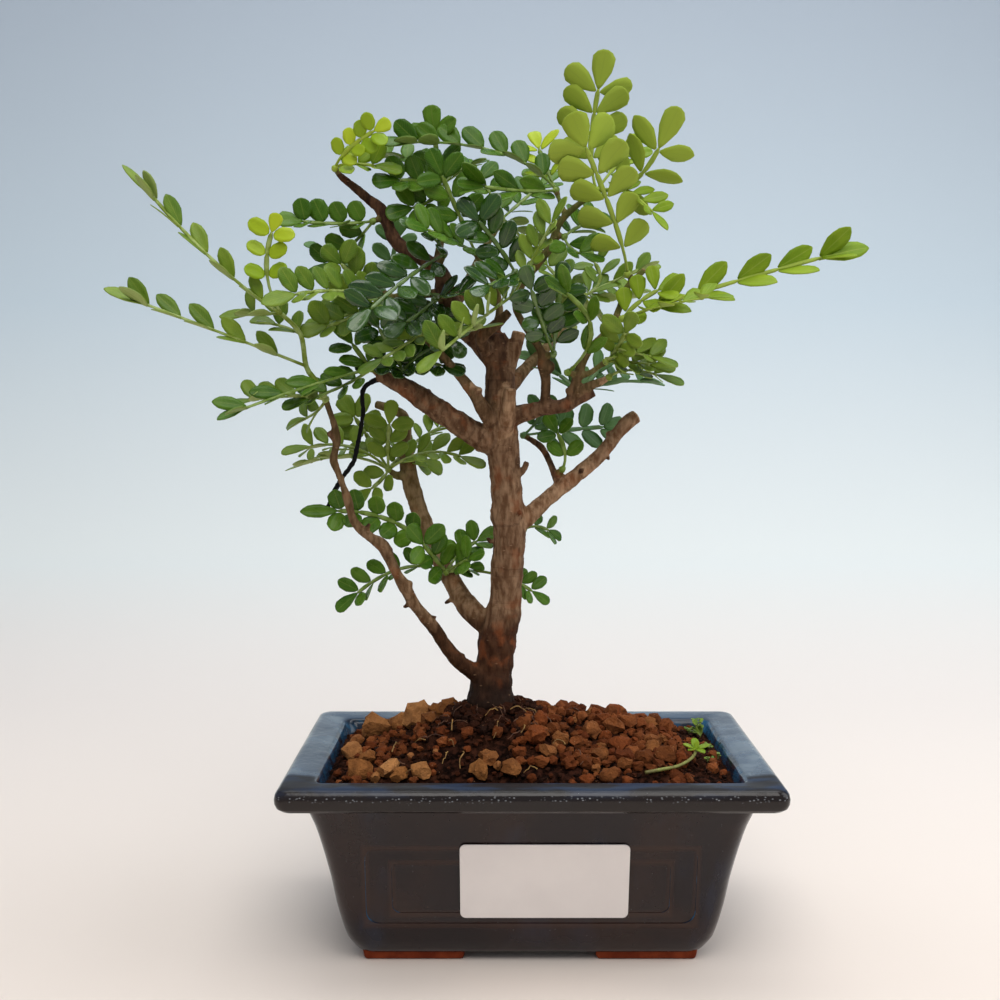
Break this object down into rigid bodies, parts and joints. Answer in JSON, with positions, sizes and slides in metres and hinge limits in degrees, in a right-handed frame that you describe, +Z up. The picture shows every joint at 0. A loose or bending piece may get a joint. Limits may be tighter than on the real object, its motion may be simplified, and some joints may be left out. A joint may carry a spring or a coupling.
{
  "type": "chinese pepper bonsai with its pot",
  "caption": "Small bonsai tree with a sawn-back trunk and feathery compound leaves, in a glazed trough pot on feet.",
  "frame": {"origin": "middle of the footprint of the whole tree and pot, on the surface that the pot stands on", "axes": "+Z up along the tree, the pot's long side along X, +Y away from the front of the pot"},
  "size_m": [0.23, 0.1019, 0.2837],
  "materials": {
    "glaze": "glossy glaze",
    "paper": "smooth",
    "humus": "rough",
    "net": "matte",
    "bark": "rough bark",
    "leaf_light": "waxy leaf",
    "leaf_mid": "waxy leaf",
    "leaf_dark": "waxy leaf",
    "leaf_pale": "waxy leaf",
    "leaf_young": "waxy leaf",
    "leaf_teal": "waxy leaf"
  },
  "bodies": {
    "root": {"pot": "glaze", "label": "paper", "soil": "humus", "drain_mesh_left": "net", "drain_mesh_right": "net", "trunk": "bark", "weed": "leaf_light", "spray_left_shoot": "leaf_light", "spray_left_high": "leaf_mid", "spray_left_mid": "leaf_light", "spray_top_left": "leaf_young", "spray_top_mid": "leaf_mid", "spray_centre": "leaf_mid", "spray_upright_left": "leaf_light", "spray_glossy_right": "leaf_dark", "spray_glossy_left": "leaf_dark", "spray_right_high": "leaf_pale", "spray_first_shoot": "leaf_mid", "spray_right_mid": "leaf_mid", "spray_right_spur": "leaf_dark", "spray_right_node": "leaf_dark", "spray_right_low": "leaf_mid", "spray_right_lower": "leaf_light", "spray_right_shoot": "leaf_pale", "spray_long_right": "leaf_pale", "spray_left_tip": "leaf_mid", "spray_left_small": "leaf_light", "spray_back_tuft": "leaf_mid", "spray_low_tuft": "leaf_dark", "spray_trunk_back": "leaf_mid", "spray_cut_spur": "leaf_teal", "spray_cut_arm": "leaf_mid", "spray_right_back": "leaf_teal", "spray_back_right": "leaf_light", "spray_back_left": "leaf_teal", "spray_back_top": "leaf_mid", "spray_inner_left": "leaf_dark", "spray_inner_mid": "leaf_dark"}
  },
  "joints": []
}
